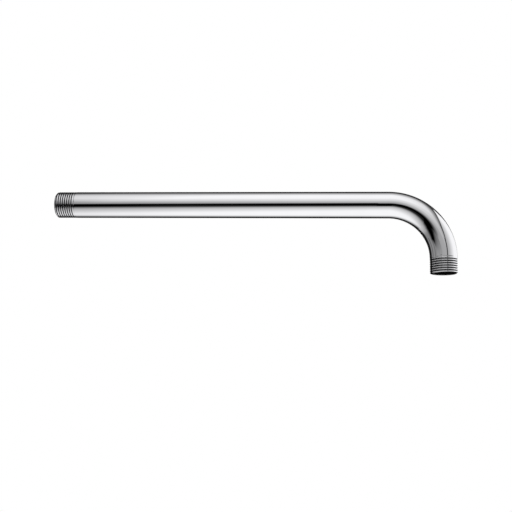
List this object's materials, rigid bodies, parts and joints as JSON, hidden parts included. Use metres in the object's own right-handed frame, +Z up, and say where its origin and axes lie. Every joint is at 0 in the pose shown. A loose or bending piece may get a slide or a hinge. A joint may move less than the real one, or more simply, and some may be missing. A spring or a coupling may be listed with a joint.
{
  "type": "shower arm",
  "caption": "Straight round chrome tube bent down at a right angle near its outlet, with a male pipe thread on each end, that carries a shower head out from a wall.",
  "frame": {"origin": "centre of the wall end's annular face", "axes": "+X along the arm away from the wall, +Z up, the outlet looks along -Z, and the XZ plane halves the arm"},
  "size_m": [0.3257, 0.0212, 0.0655],
  "materials": {
    "polished_chrome": "bright polished chrome plating"
  },
  "bodies": {
    "root": {"shower_arm": "polished_chrome"}
  },
  "joints": []
}
